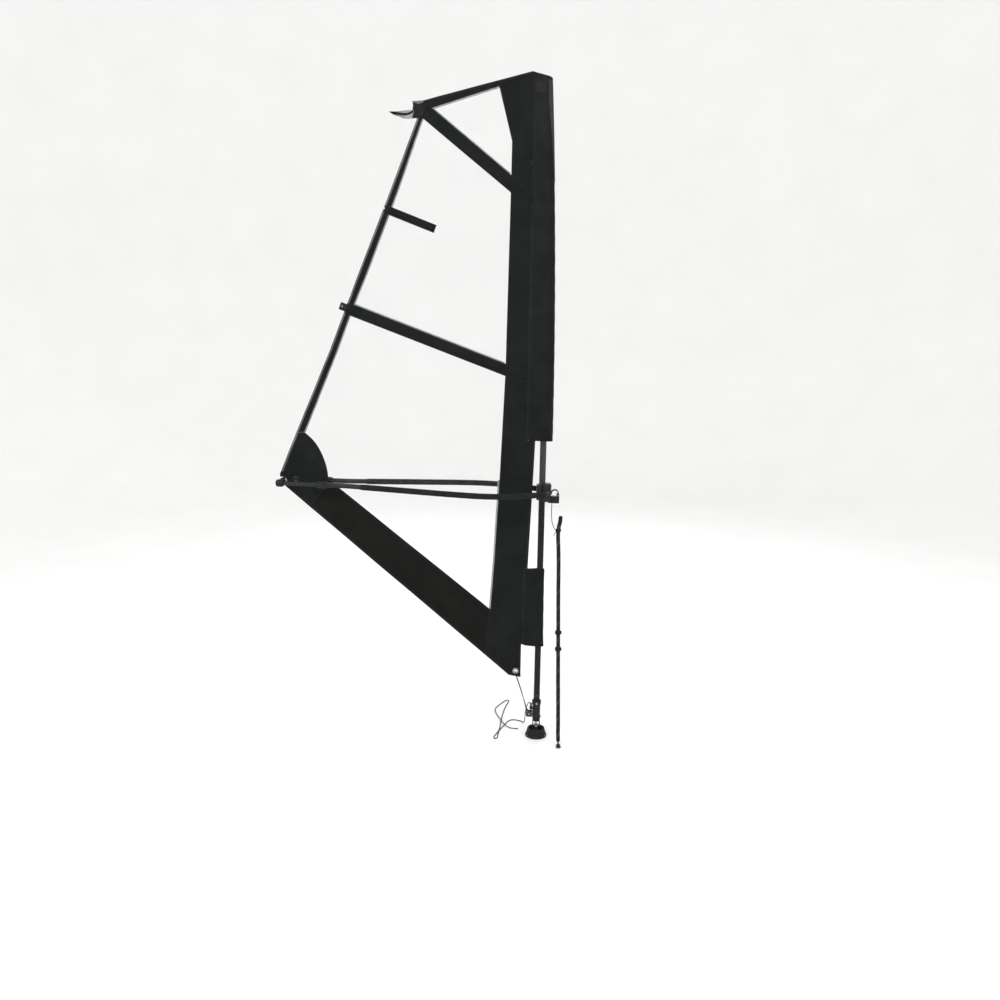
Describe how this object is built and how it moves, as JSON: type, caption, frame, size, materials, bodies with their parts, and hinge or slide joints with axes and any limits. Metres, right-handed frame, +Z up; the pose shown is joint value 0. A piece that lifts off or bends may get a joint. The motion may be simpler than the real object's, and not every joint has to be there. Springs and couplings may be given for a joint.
{
  "type": "windsurf sail rig",
  "caption": "Small windsurf rig: sleeved sail with film windows and battens on a mast, wishbone boom, universal-joint mast foot, downhaul, outhaul and uphaul.",
  "frame": {"origin": "centre of the mast foot's flat underside, on the deck", "axes": "+Z up along the mast, +X towards the luff (forward), the sail in the XZ plane with its clew towards -X"},
  "size_m": [1.4794, 0.6869, 3.3667],
  "materials": {
    "sailcloth": "woven laminate",
    "window_film": "clear film",
    "webbing": "matt webbing",
    "batten": "pultruded",
    "black_plastic": "moulded",
    "mast_tube": "resin over fibre",
    "alloy": "anodised",
    "boom_tube": "dark anodised",
    "stainless": "polished",
    "grip_foam": "foam grip",
    "rubber": "matt",
    "rope": "braided"
  },
  "bodies": {
    "rig": {"extension_foot": "black_plastic", "extension_tube": "alloy", "height_collar": "black_plastic", "pulley_bracket": "alloy", "sheave_axle": "stainless", "jam_cleat": "black_plastic", "mast_lower": "mast_tube", "mast_ferrule": "alloy", "mast_upper": "mast_tube", "mast_plug": "black_plastic", "luff_sleeve_upper": "sailcloth", "luff_sleeve_lower": "sailcloth", "luff_panel": "sailcloth", "head_strip": "sailcloth", "leech_tape": "sailcloth", "clew_patch": "sailcloth", "foot_panel": "sailcloth", "window_head": "window_film", "window_upper": "window_film", "window_main": "window_film", "tack_eyelet": "stainless", "clew_eyelet": "stainless", "batten_pocket_upper": "sailcloth", "batten_pocket_middle": "sailcloth", "batten_pocket_short": "sailcloth", "batten_upper": "batten", "batten_middle": "batten", "batten_short": "batten", "batten_cap": "black_plastic", "peak_strap": "webbing", "strap_tail": "webbing", "boom_head": "black_plastic", "boom_arm_near": "boom_tube", "boom_arm_far": "boom_tube", "boom_grip_near": "grip_foam", "boom_grip_far": "grip_foam", "outhaul_line": "rope", "downhaul_line": "rope", "downhaul_tail": "rope", "uphaul_lanyard": "rope", "uphaul_rope": "rope", "uphaul_hook": "black_plastic"},
    "swivel": {"upper_fork": "black_plastic", "swivel_pin": "stainless"},
    "cross": {"joint_cross": "stainless"},
    "base": {"base_plate": "black_plastic", "joint_cup": "rubber", "lower_fork": "black_plastic"},
    "button": {"release_button": "stainless"},
    "pin": {"collar_pin": "stainless"},
    "sheave": {"downhaul_sheave": "black_plastic"},
    "jaw": {"clamp_jaw": "black_plastic"},
    "lever": {"clamp_lever": "black_plastic"},
    "collar_near": {"twist_collar_near": "black_plastic"},
    "collar_far": {"twist_collar_far": "black_plastic"},
    "tail": {"tail_end": "black_plastic", "tail_tube_near": "boom_tube", "tail_tube_far": "boom_tube"}
  },
  "joints": [
    {"name": "mast_swivel", "type": "hinge", "parent": "rig", "child": "swivel", "pos_m": [0, 0, 0.06], "axis": [0, 0, 1], "continuous": true},
    {"name": "joint_roll", "type": "hinge", "parent": "swivel", "child": "cross", "pos_m": [0, 0, 0.06], "axis": [1, 0, 0], "range_deg": [-60, 60]},
    {"name": "joint_pitch", "type": "hinge", "parent": "cross", "child": "base", "pos_m": [0, 0, 0.06], "axis": [0, 1, 0], "range_deg": [-60, 60]},
    {"name": "release_button", "type": "slide", "parent": "rig", "child": "button", "axis": [-1, 0, 0], "range_m": [0, 0.004], "stiffness_N_per_m": 500},
    {"name": "collar_pin_pull", "type": "slide", "parent": "rig", "child": "pin", "axis": [0, -1, 0], "range_m": [0, 0.02]},
    {"name": "sheave_spin", "type": "hinge", "parent": "rig", "child": "sheave", "pos_m": [-0.04, 0, 0.125], "axis": [0, 1, 0], "continuous": true},
    {"name": "clamp_lever", "type": "hinge", "parent": "rig", "child": "lever", "pos_m": [0.08218, 0, 1.32454], "axis": [0, 1, 0], "range_deg": [0, 110]},
    {"name": "clamp_jaw", "type": "hinge", "parent": "rig", "child": "jaw", "pos_m": [0, 0.029, 1.338], "axis": [-0.0262, 0, -0.9997], "range_deg": [0, 26]},
    {"name": "twist_collar_near", "type": "hinge", "parent": "rig", "child": "collar_near", "pos_m": [-1.12961, -0.078, 1.36758], "axis": [0.9997, 0, -0.0262], "range_deg": [0, 60]},
    {"name": "twist_collar_far", "type": "hinge", "parent": "rig", "child": "collar_far", "pos_m": [-1.12961, 0.078, 1.36758], "axis": [0.9997, 0, -0.0262], "range_deg": [0, 60]},
    {"name": "boom_length", "type": "slide", "parent": "rig", "child": "tail", "axis": [-0.9997, 0, 0.0262], "range_m": [0, 0.08]}
  ],
  "couplings": [
    {"joint": "clamp_jaw", "follows": "clamp_lever", "ratio": 0.23}
  ]
}
